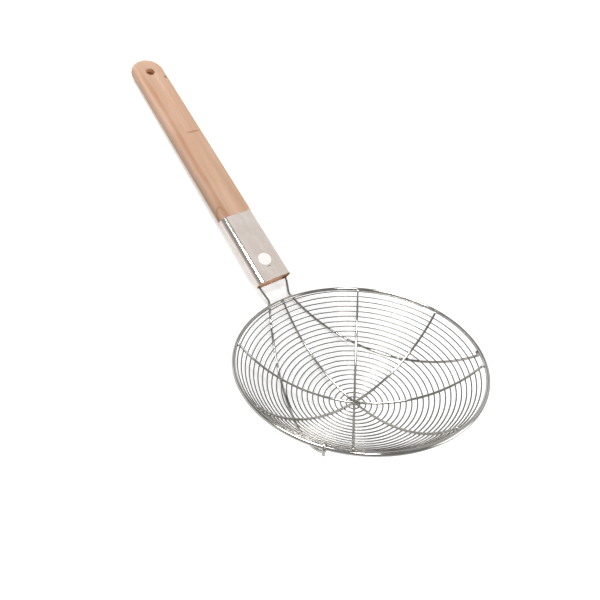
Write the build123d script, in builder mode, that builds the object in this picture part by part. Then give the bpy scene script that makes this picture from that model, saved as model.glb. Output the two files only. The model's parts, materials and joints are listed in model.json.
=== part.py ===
from build123d import *
from math import acos, atan2, cos, degrees, dist, hypot, radians, sin, sqrt, tan
import os

os.makedirs("parts", exist_ok=True)

# A spider skimmer: a shallow round bowl of wire, wound in one spiral under eight ribs, and a flat
# wooden handle. Two long wires run from the handle's steel sleeve, under the bowl, to the far rim.
# It is drawn as it lies on a table, on the underside of the bowl and on the end of the handle.

# Wire sizes
rim_wire_diameter = 3.0
rib_wire_diameter = 2.0
carrier_wire_diameter = 2.2
mesh_wire_diameter = 1.0

# Bowl: the width is over the rim wire, the depth is from the rim's plane to the mesh in the middle.
# Wires that end on the rim are cut just inside its top, at an angle taken from level outside.
bowl_width = 193.0
bowl_depth = 48.0
rib_count = 8
mesh_turn_count = 23
mesh_start_radius = 3.7
mesh_end_azimuth = 278.0
rim_end_angle = 100.0

# Carrier wires: how they lie against the sleeve's round sides, the angle taken from level down,
# then under the rim, under the bowl and at their hooks
carrier_seat_clearance = 0.06
carrier_seat_angle = 58.8
carrier_sleeve_length = 55.0
carrier_rim_spacing = 25.3
carrier_bow_width = 4.5
carrier_lead_length = 3.0
carrier_bend_length = 1.8
hook_azimuth = 124.1
hook_bend_length = 2.0
hook_depth = 2.3
hook_tail_length = 3.7

# Handle: the overall length is in a straight line from the far rim to the tip
overall_length = 480.0
handle_incline = 34.4
mouth_gap = 9.8
mouth_height = 15.8
handle_width = 36.6
handle_thickness = 12.2
sleeve_length = 73.0
sleeve_wall = 0.5
sleeve_seam_width = 0.4
wood_recess_depth = 1.5
wood_clearance = 0.05
groove_clearance = 0.05
groove_overrun_depth = 1.0
hang_hole_diameter = 9.5
hang_hole_tip_spacing = 22.0
hang_hole_bevel_width = 0.8

# Counts: flats that each round wire is drawn with, biarcs in a turn of the mesh, points on an arc that
# a gap is measured on, and steps that find the resting tilt
rim_flat_count = 4
rib_flat_count = 3
carrier_flat_count = 4
mesh_flat_count = 3
mesh_biarc_count = 2
gap_point_count = 8
halving_count = 50

# Radii of the wires
rim_wire_radius = rim_wire_diameter / 2
rib_wire_radius = rib_wire_diameter / 2
carrier_wire_radius = carrier_wire_diameter / 2
mesh_wire_radius = mesh_wire_diameter / 2

# The bowl is part of a sphere round a point above its middle. The ribs lie on the inside of the mesh
# and against the inside of the rim, so the rim's centre is a little outside the mesh's own sphere.
rim_radius = bowl_width / 2 - rim_wire_radius
rim_offset = rim_wire_radius - mesh_wire_radius
mesh_sphere = (rim_radius**2 + bowl_depth**2 - rim_offset**2) / (2 * (bowl_depth + rim_offset))
sphere_height = mesh_sphere - bowl_depth
rim_sphere = mesh_sphere + rim_offset
rib_sphere = mesh_sphere - mesh_wire_radius - rib_wire_radius
carrier_sphere = mesh_sphere + mesh_wire_radius + carrier_wire_radius
rim_polar_angle = degrees(atan2(rim_radius, sphere_height))
rib_wrap_radius = rim_wire_radius + rib_wire_radius
carrier_wrap_radius = rim_wire_radius + carrier_wire_radius


def polar(azimuth, radius, height):
    # A point of the bowl's frame from its azimuth, its distance from the bowl's axis and its height
    return Vector(radius * cos(radians(azimuth)), radius * sin(radians(azimuth)), height)


def inward(azimuth):
    # The direction from the rim's centre line to the centre of the sphere
    return polar(azimuth, -rim_radius, sphere_height).normalized()


def downward(azimuth):
    # The direction from the rim's centre line down along the sphere
    return polar(azimuth, -sphere_height, -rim_radius).normalized()


# The mesh wire ends where it meets the rim wire, and its turns are evenly spaced over the sphere
mesh_reach = rim_wire_radius + mesh_wire_radius
meeting_cosine = (mesh_sphere**2 + rim_sphere**2 - mesh_reach**2) / (2 * mesh_sphere * rim_sphere)
mesh_end_angle = rim_polar_angle - degrees(acos(meeting_cosine))
mesh_end_reach = radians(mesh_end_angle) * mesh_sphere
mesh_pitch = (mesh_end_reach - mesh_start_radius) / mesh_turn_count


def mesh_point(turn):
    # A point of the spiral, counted in turns from its inner end
    polar_angle = (mesh_start_radius + mesh_pitch * turn) / mesh_sphere
    azimuth = mesh_end_azimuth + 360 * (mesh_turn_count - turn)
    return polar(azimuth, mesh_sphere * sin(polar_angle), sphere_height - mesh_sphere * cos(polar_angle))


def mesh_heading(turn):
    # The direction of the spiral at that point, going outward
    polar_angle = (mesh_start_radius + mesh_pitch * turn) / mesh_sphere
    azimuth = mesh_end_azimuth + 360 * (mesh_turn_count - turn)
    climb = polar(azimuth, cos(polar_angle), sin(polar_angle)) * mesh_pitch
    round_turn = polar(azimuth - 90, radians(360) * mesh_sphere * sin(polar_angle), 0)
    return (climb + round_turn).normalized()


# Handle: its centre line leaves the mouth of the sleeve and rises from the rim's plane
mouth = Vector(rim_radius + rim_wire_radius + mouth_gap, 0, mouth_height)
handle_along = Vector(cos(radians(handle_incline)), 0, sin(radians(handle_incline)))
handle_up = Vector(-sin(radians(handle_incline)), 0, cos(radians(handle_incline)))
far_rim = Vector(-rim_radius - rim_wire_radius, 0, 0)
rim_to_mouth = mouth - far_rim
mouth_share_along = rim_to_mouth.dot(handle_along)
mouth_offset_squared = rim_to_mouth.dot(rim_to_mouth) - mouth_share_along**2
handle_length = sqrt(overall_length**2 - mouth_offset_squared) - mouth_share_along
end_radius = handle_thickness / 2

# A carrier wire lies in the sleeve against its round side, low down, so its place there follows the
# sleeve's section
seat_distance = handle_thickness / 2 - sleeve_wall - carrier_wire_radius - carrier_seat_clearance
carrier_offset = handle_width / 2 - handle_thickness / 2
carrier_offset += seat_distance * cos(radians(carrier_seat_angle))
carrier_drop = seat_distance * sin(radians(carrier_seat_angle))

# A carrier wire's run under the bowl is one arc: under the rim by the handle, touching the mesh half
# way, and out to the far rim, where the wire comes up beside the rim and hooks over it.
rim_crossing_azimuth = degrees(atan2(carrier_rim_spacing / 2, rim_radius))
rim_crossing = polar(rim_crossing_azimuth, rim_radius, 0)
rim_crossing -= inward(rim_crossing_azimuth) * carrier_wrap_radius
hook_corner = polar(hook_azimuth, rim_radius, 0) + downward(hook_azimuth) * carrier_wrap_radius
hook_corner -= inward(hook_azimuth) * hook_depth
half_way = (rim_crossing + hook_corner) / 2
half_way_radius = hypot(half_way.X, half_way.Y) + carrier_bow_width
half_way_height = sphere_height - sqrt(carrier_sphere**2 - half_way_radius**2)
half_way = polar(degrees(atan2(half_way.Y, half_way.X)), half_way_radius, half_way_height)

# Centre, radius and axis of that arc, from its three points
side_one = rim_crossing - hook_corner
side_two = half_way - hook_corner
arc_cross = side_one.cross(side_two)
arc_axis = arc_cross.normalized()
arc_lean = side_two * side_one.dot(side_one) - side_one * side_two.dot(side_two)
arc_centre = hook_corner + arc_lean.cross(arc_cross) / (2 * arc_cross.dot(arc_cross))
arc_radius = (rim_crossing - arc_centre).length
arc_first = (rim_crossing - arc_centre).normalized()
arc_second = arc_axis.cross(arc_first)
if arc_second.dot(half_way - arc_centre) < 0:
    arc_second = arc_second * -1
arc_span = degrees(
    atan2(arc_second.dot(hook_corner - arc_centre), arc_first.dot(hook_corner - arc_centre))
)


def arc_point(angle):
    # A point of the arc under the bowl, at an angle from where it crosses under the rim
    turned = arc_first * cos(radians(angle)) + arc_second * sin(radians(angle))
    return arc_centre + turned * arc_radius


def arc_heading(angle):
    # The arc's direction there, going away from the handle
    return arc_second * cos(radians(angle)) - arc_first * sin(radians(angle))


# The bowl rests on the two arcs and the handle on its end: the tilt that brings both to one level
def reach_of_arcs(tilt):
    down = Vector(sin(radians(tilt)), 0, -cos(radians(tilt)))
    spread = sqrt(1 - arc_axis.dot(down) ** 2)
    return arc_centre.dot(down) + arc_radius * spread + carrier_wire_radius


def reach_of_handle(tilt):
    down = Vector(sin(radians(tilt)), 0, -cos(radians(tilt)))
    end_centre = mouth + handle_along * (handle_length - end_radius)
    return end_centre.dot(down) + end_radius


low_tilt = 0
high_tilt = 90
for step in range(halving_count):
    rest_tilt = (low_tilt + high_tilt) / 2
    if reach_of_handle(rest_tilt) < reach_of_arcs(rest_tilt):
        low_tilt = rest_tilt
    else:
        high_tilt = rest_tilt

# The origin is on the table under the middle of the whole length, which runs from the far rim to the
# tip of the handle
level = Vector(cos(radians(rest_tilt)), 0, sin(radians(rest_tilt)))
tip = mouth + handle_along * (handle_length - end_radius)
middle = (far_rim.dot(level) + tip.dot(level) + end_radius) / 2
bowl = Plane(origin=(-middle, 0, reach_of_arcs(rest_tilt))).rotated((0, rest_tilt, 0))


def facing(direction):
    # A direction of the bowl's frame, turned with the bowl into its resting pose
    return bowl.from_local_coords(direction) - bowl.origin


def placed(point):
    # A point of the bowl's frame in the resting pose
    return bowl.from_local_coords(point)


def meridian(azimuth):
    # The plane through the bowl's axis at an azimuth, with its x pointing to the rim
    return Plane(
        origin=bowl.origin, x_dir=facing(polar(azimuth, 1, 0)), z_dir=facing(polar(azimuth - 90, 1, 0))
    )


grip = Plane(origin=placed(mouth), x_dir=facing(handle_along), z_dir=facing(handle_up))


def across(distance):
    # The plane across the handle at a distance from the mouth
    return Plane(
        origin=grip.from_local_coords(Vector(distance, 0, 0)), x_dir=grip.y_dir, z_dir=grip.x_dir
    )


# Wooden handle: a flat bar with round edges and a round end, a tenon for the sleeve, two grooves
# for the carrier wires, milled from below, and a hole to hang it by
tenon_width = handle_width - 2 * sleeve_wall - 2 * wood_clearance
tenon_thickness = handle_thickness - 2 * sleeve_wall - 2 * wood_clearance
tenon_length = sleeve_length - wood_recess_depth
end_start = handle_length - handle_width / 2
groove_radius = carrier_wire_radius + groove_clearance
groove_depth = handle_thickness / 2 - carrier_drop + groove_overrun_depth
groove_length = carrier_sleeve_length - wood_recess_depth + groove_clearance
hang_hole_distance = handle_length - hang_hole_tip_spacing

with BuildPart(grip) as wooden_handle:
    with BuildSketch(across(sleeve_length)):
        SlotOverall(handle_width, handle_thickness)
    extrude(amount=end_start - sleeve_length)
    with BuildSketch(across(end_start)):
        with Locations((handle_width / 4 - handle_thickness / 4, 0)):
            Rectangle(handle_width / 2 - handle_thickness / 2, handle_thickness)
        with Locations((handle_width / 2 - handle_thickness / 2, 0)):
            Circle(handle_thickness / 2)
            with Locations((-handle_thickness / 4, 0)):
                Rectangle(handle_thickness / 2, handle_thickness)
    end_axis = Axis(across(end_start).origin, grip.z_dir)
    revolve(axis=end_axis, revolution_arc=-180)
    with BuildSketch(across(wood_recess_depth)):
        SlotOverall(tenon_width, tenon_thickness)
    extrude(amount=tenon_length)
    with BuildSketch(across(wood_recess_depth)):
        for side in (-1, 1):
            with Locations((side * carrier_offset, -carrier_drop)):
                Circle(groove_radius)
                with Locations((0, -groove_depth / 2)):
                    Rectangle(2 * groove_radius, groove_depth)
    extrude(amount=groove_length, mode=Mode.SUBTRACT)
    with Locations((hang_hole_distance, 0, handle_thickness / 2)):
        Hole(hang_hole_diameter / 2)
    chamfer(wooden_handle.edges(Select.LAST).filter_by(GeomType.CIRCLE), hang_hole_bevel_width)

wooden_handle.part.label = "wooden_handle"
export_step(wooden_handle.part, "parts/wooden_handle.step")

# Steel sleeve: a thin sheet wrapped round the tenon, flush with the wood, with its seam underneath
with BuildPart(grip) as steel_sleeve:
    with BuildSketch(across(0)):
        SlotOverall(handle_width, handle_thickness)
        SlotOverall(handle_width - 2 * sleeve_wall, handle_thickness - 2 * sleeve_wall, mode=Mode.SUBTRACT)
        with Locations((0, -handle_thickness / 2)):
            Rectangle(sleeve_seam_width, 4 * sleeve_wall, mode=Mode.SUBTRACT)
    extrude(amount=sleeve_length)

steel_sleeve.part.label = "steel_sleeve"
export_step(steel_sleeve.part, "parts/steel_sleeve.step")

# Rim wire: a closed ring, whose section has a corner where the ribs end on it
with BuildPart(bowl) as rim_wire:
    with BuildSketch(meridian(0)):
        with Locations((rim_radius, 0)):
            RegularPolygon(rim_wire_radius, rim_flat_count, rotation=rim_end_angle)
    revolve(axis=Axis(bowl.origin, bowl.z_dir))

rim_wire.part.label = "rim_wire"
export_step(rim_wire.part, "parts/rim_wire.step")

# Mesh wire: one spiral from the hub to the rim, two tangent arcs for each half turn
with BuildPart(bowl) as mesh_coil:
    with BuildLine(bowl) as mesh_path:
        for step in range(mesh_turn_count * mesh_biarc_count):
            start = mesh_point(step / mesh_biarc_count)
            finish = mesh_point((step + 1) / mesh_biarc_count)
            leaving = mesh_heading(step / mesh_biarc_count)
            arriving = mesh_heading((step + 1) / mesh_biarc_count)
            bend = 2 * (1 - leaving.dot(arriving))
            chord = finish - start
            pull = chord.dot(leaving + arriving)
            run = (sqrt(pull**2 + bend * chord.dot(chord)) - pull) / bend
            joint = (start + leaving * run + finish - arriving * run) / 2
            first_arc = TangentArc(placed(start), placed(joint), tangent=facing(leaving))
            TangentArc(first_arc @ 1, placed(finish), tangent=first_arc % 1)
    mesh_wire = mesh_path.wire()
    with BuildSketch(Plane(origin=mesh_wire @ 0, x_dir=bowl.z_dir, z_dir=mesh_wire % 0)):
        RegularPolygon(mesh_wire_radius, mesh_flat_count)
    sweep(path=mesh_wire)

mesh_coil.part.label = "mesh_coil"
export_step(mesh_coil.part, "parts/mesh_coil.step")

# The spiral's least gap to itself, measured between points at least half a turn apart
mesh_edges = mesh_path.edges()
points_a_turn = 2 * mesh_biarc_count * gap_point_count
gap_points = [tuple(edge @ (n / gap_point_count)) for edge in mesh_edges for n in range(gap_point_count)]
least_gap = min(
    dist(here, there)
    for index, here in enumerate(gap_points)
    for there in gap_points[index + points_a_turn // 2 : index + 2 * points_a_turn]
)
print("mesh pitch", round(mesh_pitch, 3), "least gap", round(least_gap - mesh_wire_diameter, 3))

# Ribs: each is an arc from the hub up the inside of the bowl and onto the rim, with one of its edges
# toward the mesh. At the hub they are cut to a point, so that they meet face to face.
hub_overlap = degrees(rib_wire_diameter / rib_sphere)
inside_angle = 90 + rim_polar_angle
for index in range(rib_count):
    azimuth = -360 * index / rib_count
    with BuildPart(bowl) as rib:
        with BuildLine(meridian(azimuth)):
            bed = CenterArc(
                (0, sphere_height), rib_sphere, -90 - hub_overlap, rim_polar_angle + hub_overlap
            )
            CenterArc((rim_radius, 0), rib_wrap_radius, inside_angle, rim_end_angle - inside_angle)
        with BuildSketch(Plane(origin=bed @ 0, x_dir=bowl.z_dir, z_dir=bed % 0)):
            RegularPolygon(rib_wire_radius, rib_flat_count, rotation=180)
        sweep()
        split(bisect_by=meridian(azimuth + 180 / rib_count), keep=Keep.TOP)
        split(bisect_by=meridian(azimuth - 180 / rib_count), keep=Keep.BOTTOM)
    rib.part.label = f"rib_{index + 1}"
    export_step(rib.part, f"parts/rib_{index + 1}.step")

# Carrier wires: straight in the groove, bent at the mouth, down to the rim, the long arc under the
# bowl, and up between the rim and the last turn of the mesh. The left one goes over the rim in a
# hook, and the right one is cut on top of it.
lead_angle = degrees(carrier_lead_length / arc_radius)
hook_bend_angle = degrees(hook_bend_length / arc_radius)
arc_start = arc_point(-lead_angle)
arc_end = arc_point(arc_span - hook_bend_angle)
rim_corner = arc_start - arc_heading(-lead_angle) * carrier_bend_length
hook_turn = arc_end + arc_heading(arc_span - hook_bend_angle) * hook_bend_length
turn_azimuth = degrees(atan2(hook_turn.Y, hook_turn.X))
turn_rim = polar(turn_azimuth, rim_radius, 0)
turn_in = inward(turn_azimuth)
turn_down = downward(turn_azimuth)
hook_radius = (hook_turn - turn_rim).dot(turn_down)
groove_line = mouth + Vector(0, carrier_offset, 0) - handle_up * carrier_drop
mouth_corner = groove_line - handle_along * carrier_bend_length
mouth_to_rim = (rim_corner - mouth_corner).normalized()
end_turn = radians(rim_end_angle)
hook_top = turn_rim + polar(turn_azimuth, 0, hook_radius)
hook_outside = turn_rim + polar(turn_azimuth, hook_radius, 0)
hook_inside = turn_rim + (turn_down + turn_in).normalized() * hook_radius
carrier_route = [
    groove_line + handle_along * carrier_sleeve_length,
    mouth_corner + handle_along * carrier_bend_length,
    mouth_corner + mouth_to_rim * carrier_bend_length,
    rim_corner - mouth_to_rim * carrier_bend_length,
    arc_start,
    arc_point((arc_span - lead_angle - hook_bend_angle) / 2),
    arc_end,
    hook_turn + turn_in * hook_bend_length,
    turn_rim + turn_down * hook_radius,
    hook_inside,
    hook_top,
    hook_outside,
    hook_outside - polar(0, 0, hook_tail_length),
    turn_rim + polar(turn_azimuth, hook_radius * cos(end_turn), hook_radius * sin(end_turn)),
]

for name, side in (("carrier_wire_left", 1), ("carrier_wire_right", -1)):
    route = [placed(Vector(point.X, side * point.Y, point.Z)) for point in carrier_route]
    with BuildPart(bowl) as carrier:
        with BuildLine(bowl) as carrier_path:
            in_groove = Line(route[0], route[1])
            TangentArc(route[1], route[2], tangent=in_groove % 1)
            to_rim = Line(route[2], route[3])
            TangentArc(route[3], route[4], tangent=to_rim % 1)
            under_bowl = ThreePointArc(route[4], route[5], route[6])
            TangentArc(route[6], route[7], tangent=under_bowl % 1)
            Line(route[7], route[8])
            if side > 0:
                ThreePointArc(route[8], route[9], route[10])
                TangentArc(route[10], route[11], tangent=facing(polar(turn_azimuth, 1, 0)))
                Line(route[11], route[12])
            else:
                ThreePointArc(route[8], route[9], route[13])
        carrier_line = carrier_path.wire()
        with BuildSketch(Plane(origin=carrier_line @ 0, x_dir=grip.z_dir, z_dir=carrier_line % 0)):
            RegularPolygon(carrier_wire_radius, carrier_flat_count)
        sweep(path=carrier_line)
    carrier.part.label = name
    export_step(carrier.part, f"parts/{name}.step")
    flat_angle = radians(360 / carrier_flat_count)
    section_area = carrier_flat_count / 2 * carrier_wire_radius**2 * sin(flat_angle)
    print(name, "volume", round(carrier.part.volume, 1), "section x length",
          round(section_area * carrier_line.length, 1))

print("tilt", round(rest_tilt, 3), "handle length", round(handle_length, 2))
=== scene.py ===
import json
from math import acos, atan2, cos, degrees, hypot, pi, radians, sin, sqrt

import bmesh
import bpy
from mathutils import Matrix, Vector


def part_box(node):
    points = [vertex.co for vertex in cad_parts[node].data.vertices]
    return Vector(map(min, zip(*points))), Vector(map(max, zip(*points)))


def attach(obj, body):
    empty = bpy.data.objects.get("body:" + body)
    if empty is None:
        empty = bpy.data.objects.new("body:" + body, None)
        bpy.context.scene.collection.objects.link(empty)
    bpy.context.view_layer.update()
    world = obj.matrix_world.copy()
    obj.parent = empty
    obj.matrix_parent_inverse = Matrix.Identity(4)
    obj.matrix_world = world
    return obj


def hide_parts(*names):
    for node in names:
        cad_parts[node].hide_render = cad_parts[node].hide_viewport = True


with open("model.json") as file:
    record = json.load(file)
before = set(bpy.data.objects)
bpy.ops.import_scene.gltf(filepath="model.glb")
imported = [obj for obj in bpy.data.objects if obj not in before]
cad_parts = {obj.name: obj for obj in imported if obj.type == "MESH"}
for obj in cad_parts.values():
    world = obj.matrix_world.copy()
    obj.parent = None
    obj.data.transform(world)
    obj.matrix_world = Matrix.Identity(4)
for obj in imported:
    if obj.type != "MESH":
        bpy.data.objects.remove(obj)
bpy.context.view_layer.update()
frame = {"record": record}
mm = 0.001

# Camera: at the photograph's viewing angle, high over the left side of the handle, looking down
# into the bowl. The shift only puts the skimmer where it stands in the photograph.
camera_place = Vector((-0.195542, 0.264103, 0.452082))
camera_turn = Vector((36.9801, -17.0700, -120.1487))
camera_data = bpy.data.cameras.new("camera")
camera_data.sensor_width = 36.0
camera_data.lens = 34.7538
camera_data.shift_x = 0.087384
camera_data.shift_y = -0.182005
camera = bpy.data.objects.new("camera", camera_data)
camera.location = camera_place
camera.rotation_euler = [radians(turn) for turn in camera_turn]
bpy.context.scene.collection.objects.link(camera)
bpy.context.scene.camera = camera
bpy.context.scene.view_settings.view_transform = "Standard"


def add(tree, kind, inputs=None, **settings):
    # Adds a node, sets its properties, and fills or links its inputs
    node = tree.nodes.new(kind)
    for name, value in settings.items():
        setattr(node, name, value)
    for name, value in (inputs or {}).items():
        if isinstance(value, bpy.types.NodeSocket):
            tree.links.new(value, node.inputs[name])
        else:
            node.inputs[name].default_value = value
    return node


def linear(hex_colour):
    # An sRGB hex colour as linear red, green, blue and alpha
    values = [int(hex_colour[n:n + 2], 16) / 255 for n in (1, 3, 5)]
    return [v / 12.92 if v <= 0.04045 else ((v + 0.055) / 1.055) ** 2.4 for v in values] + [1.0]


def new_material(name):
    material = bpy.data.materials.new(name)
    material.use_nodes = True
    material.node_tree.nodes.clear()
    return material, material.node_tree


# Floor: a plain white studio table. It gives back most of the light, and a little glow for the
# camera and for reflections brings it up to white, so that only the skimmer's shadow shows. It lies
# just below the carriers, whose round wire dips a little under the origin.
floor_reach = 6.0
floor_below = 0.14 * mm
floor_colour = linear("#E8E8E7")
floor_glow = 0.48


def seen_rays(tree):
    # 1 for what is seen straight, mirrored or through something clear, and 0 for light on surfaces
    rays = add(tree, "ShaderNodeLightPath").outputs
    seen = add(tree, "ShaderNodeMath", {0: rays["Is Camera Ray"], 1: rays["Is Glossy Ray"]},
               operation="MAXIMUM")
    seen = add(tree, "ShaderNodeMath", {0: seen.outputs[0], 1: rays["Is Transmission Ray"]},
               operation="MAXIMUM")
    return seen.outputs[0]


floor_finish, tree = new_material("matt white table")
glow = add(tree, "ShaderNodeMath", {0: seen_rays(tree), 1: floor_glow}, operation="MULTIPLY")
matt = add(tree, "ShaderNodeBsdfDiffuse", {"Color": floor_colour})
shine = add(tree, "ShaderNodeEmission", {"Strength": glow.outputs[0]})
both = add(tree, "ShaderNodeAddShader", {0: matt.outputs[0], 1: shine.outputs[0]})
add(tree, "ShaderNodeOutputMaterial", {"Surface": both.outputs[0]})

floor_mesh = bpy.data.meshes.new("floor")
corners = [(x * floor_reach, y * floor_reach, -floor_below) for x, y in ((-1, -1), (1, -1), (1, 1), (-1, 1))]
floor_mesh.from_pydata(corners, [], [(0, 1, 2, 3)])
floor_mesh.materials.append(floor_finish)
floor = bpy.data.objects.new("floor", floor_mesh)
bpy.context.scene.collection.objects.link(floor)

# Light: three square lamps in a pale studio. The steel mirrors what stands round it: a white sweep
# behind the table, a large panel to the camera's right, a half-bright ceiling, and a very bright soft
# box behind each of the two upper lamps. The camera sees the same studio.
world_strength = 0.3
ceiling_level = 0.5
sweep_from, sweep_to = sin(radians(17)), sin(radians(4))
panel_direction, panel_edge, panel_core, panel_level = Vector((0.26, -0.75, 0.61)), 34, 28, 1.25
overhead_place, overhead_edge, overhead_core = Vector((0.54, 0.33, 2.12)), 6, 3
beyond_place, beyond_edge, beyond_core = Vector((1.98, 0.56, 1.71)), 14, 7
side_place = Vector((-0.9, -0.6, 0.8))
box_level = 32.0

world = bpy.data.worlds.new("studio")
world.use_nodes = True
tree = world.node_tree
tree.nodes.clear()
direction = add(tree, "ShaderNodeTexCoord").outputs["Generated"]
rise = add(tree, "ShaderNodeSeparateXYZ", {0: direction}).outputs["Z"]
bright = add(tree, "ShaderNodeMapRange", {"Value": rise, "From Min": sweep_from, "From Max": sweep_to},
             interpolation_type="SMOOTHSTEP")
for middle, edge, core, full_level in ((panel_direction, panel_edge, panel_core, panel_level),
                                       (overhead_place, overhead_edge, overhead_core, box_level),
                                       (beyond_place, beyond_edge, beyond_core, box_level)):
    facing = add(tree, "ShaderNodeVectorMath", {0: direction, 1: middle.normalized()},
                 operation="DOT_PRODUCT")
    shape = add(tree, "ShaderNodeMapRange", {
        "Value": facing.outputs["Value"], "From Min": cos(radians(edge)), "From Max": cos(radians(core))},
        interpolation_type="SMOOTHSTEP")
    shape = add(tree, "ShaderNodeMath", {0: shape.outputs[0], 1: full_level}, operation="MULTIPLY")
    bright = add(tree, "ShaderNodeMath", {0: bright.outputs[0], 1: shape.outputs[0]}, operation="MAXIMUM")
shown = add(tree, "ShaderNodeMath", {0: bright.outputs[0], 1: ceiling_level}, operation="MAXIMUM")
level = add(tree, "ShaderNodeMix", {0: seen_rays(tree), 2: world_strength, 3: shown.outputs[0]})
background = add(tree, "ShaderNodeBackground", {"Strength": level.outputs[0]})
add(tree, "ShaderNodeOutputWorld", {"Surface": background.outputs[0]})
bpy.context.scene.world = world


def soft_lamp(name, place, size, power):
    # A square lamp that looks at the middle of the skimmer
    data = bpy.data.lights.new(name, "AREA")
    data.shape = "SQUARE"
    data.size = size
    data.energy = power
    lamp = bpy.data.objects.new(name, data)
    lamp.location = place
    lamp.rotation_euler = (-place).to_track_quat("-Z", "Y").to_euler()
    bpy.context.scene.collection.objects.link(lamp)


soft_lamp("overhead", overhead_place, size=0.34, power=15.0)
soft_lamp("beyond the handle", beyond_place, size=0.8, power=26.0)
soft_lamp("side", side_place, size=0.7, power=6.5)


# Wooden handle: one flat bar of beech with round edges and a round end, sanded and left bare. A
# thinner tenon goes into the sleeve, with two grooves for the wires, and a hole hangs it up.
handle_width = 36.6 * mm
handle_thickness = 12.2 * mm
handle_incline = 34.4
sleeve_length = 73.0 * mm
sleeve_wall = 0.5 * mm
wood_recess = 1.5 * mm
wood_clearance = 0.05 * mm
shoulder_bevel = 0.3 * mm
hole_radius = 4.75 * mm
hole_rounding = 0.9 * mm
rounding_lift = 0.14 * mm
carrier_wire = 2.2 * mm
groove_length = 55.05 * mm
groove_clearance = 0.05 * mm
overrun = 1.0 * mm

hang_hole = frame["record"]["mounts"][0]
hole_centre = Vector(hang_hole["pos_m"])
handle_up = Vector(hang_hole["axis"]).normalized()
handle_across = Vector((0, 1, 0))
handle_along = handle_across.cross(handle_up)
sleeve_low, sleeve_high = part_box("steel_sleeve")
mouth = (sleeve_low + sleeve_high) / 2 - handle_along * sleeve_length / 2
end_radius = handle_thickness / 2
end_centre_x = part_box("wooden_handle")[1].x - end_radius
handle_length = (end_centre_x - mouth.x) / handle_along.x + end_radius
handle_place = Matrix((handle_along, handle_across, handle_up)).transposed().to_4x4()
handle_place.translation = mouth
arc_steps = 14


def half_section(width, thickness):
    # Half of a round-sided section, from the middle of the top out and round to the bottom
    flat = (width - thickness) / 2
    radius = thickness / 2
    points = [(0.0, radius), (flat * 0.5, radius)]
    for step in range(arc_steps + 1):
        angle = radians(90 - 180 * step / arc_steps)
        points.append((flat + radius * cos(angle), radius * sin(angle)))
    return points + [(flat * 0.5, -radius), (0.0, -radius)]


def whole_section(width, thickness):
    # The closed section, once round without a repeated point
    half = half_section(width, thickness)
    return half + [(-across, height) for across, height in reversed(half[1:-1])]


def mesh_object(name, vertices, faces):
    # A piece from its points and faces, with doubles merged and the faces turned outwards
    mesh = bpy.data.meshes.new(name)
    mesh.from_pydata(vertices, [], faces)
    work = bmesh.new()
    work.from_mesh(mesh)
    bmesh.ops.remove_doubles(work, verts=work.verts, dist=0.001 * mm)
    bmesh.ops.recalc_face_normals(work, faces=work.faces)
    work.to_mesh(mesh)
    work.free()
    piece = bpy.data.objects.new(name, mesh)
    bpy.context.scene.collection.objects.link(piece)
    return piece


def strips(first, rows, columns, closed):
    # The faces between rows of points, numbered from the first, each row closed or open
    faces = []
    for row in range(rows - 1):
        for column in range(columns if closed else columns - 1):
            here = first + row * columns
            after = (column + 1) % columns
            above = here + columns
            faces.append((here + column, here + after, above + after, above + column))
    return faces


def finished(piece, material):
    # Works the piece's modifiers into a plain mesh and gives it its material
    depsgraph = bpy.context.evaluated_depsgraph_get()
    mesh = bpy.data.meshes.new_from_object(piece.evaluated_get(depsgraph))
    piece.modifiers.clear()
    piece.data = mesh
    mesh.materials.clear()
    mesh.materials.append(material)
    for polygon in mesh.polygons:
        polygon.material_index = 0
    return piece


tenon_width = handle_width - 2 * sleeve_wall - 2 * wood_clearance
tenon_thickness = handle_thickness - 2 * sleeve_wall - 2 * wood_clearance
end_start = handle_length - handle_width / 2
stations = [
    (wood_recess, tenon_width - 2 * shoulder_bevel, tenon_thickness - 2 * shoulder_bevel),
    (wood_recess + shoulder_bevel, tenon_width, tenon_thickness),
    (sleeve_length, tenon_width, tenon_thickness),
    (sleeve_length, handle_width - shoulder_bevel, handle_thickness - shoulder_bevel),
    (sleeve_length + shoulder_bevel / 2, handle_width, handle_thickness),
    (end_start, handle_width, handle_thickness),
]
vertices = []
for distance, width, thickness in stations:
    vertices += [(distance, across, height) for across, height in whole_section(width, thickness)]
ring = len(whole_section(handle_width, handle_thickness))
faces = strips(0, len(stations), ring, True)
faces.append(tuple(range(ring)))
end_turns = 40
first = len(vertices)
half = half_section(handle_width, handle_thickness)
for step in range(end_turns + 1):
    angle = radians(90 - 180 * step / end_turns)
    vertices += [(end_start + across * cos(angle), across * sin(angle), height) for across, height in half]
faces += strips(first, end_turns + 1, len(half), False)
wooden_handle = mesh_object("wooden_handle_beech", vertices, faces)

# The drill, its rounding cutters, which stand a little proud of the wood, and the two groove cutters
hole_distance = (hole_centre - mouth).dot(handle_along)
cutter_turns = 48
rounding_steps = 6
profile = [(0.0, overrun + end_radius)]
profile.append((hole_radius + hole_rounding, overrun + end_radius))
for step in range(rounding_steps + 1):
    angle = radians(90 * step / rounding_steps)
    profile.append((hole_radius + hole_rounding * (1 - sin(angle)),
                    end_radius + rounding_lift - hole_rounding * (1 - cos(angle))))
profile += [(radius, -height) for radius, height in reversed(profile)]
vertices = []
for step in range(cutter_turns):
    angle = 2 * pi * step / cutter_turns
    for radius, height in profile:
        vertices.append((hole_distance + radius * cos(angle), radius * sin(angle), height))
count = len(profile)
faces = []
for step in range(cutter_turns):
    after = (step + 1) % cutter_turns
    for point in range(count - 1):
        faces.append((step * count + point, after * count + point,
                      after * count + point + 1, step * count + point + 1))
groove_steps = 12
groove_radius = carrier_wire / 2 + groove_clearance
seat_clearance = 0.06 * mm
seat_angle = 58.8
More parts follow.
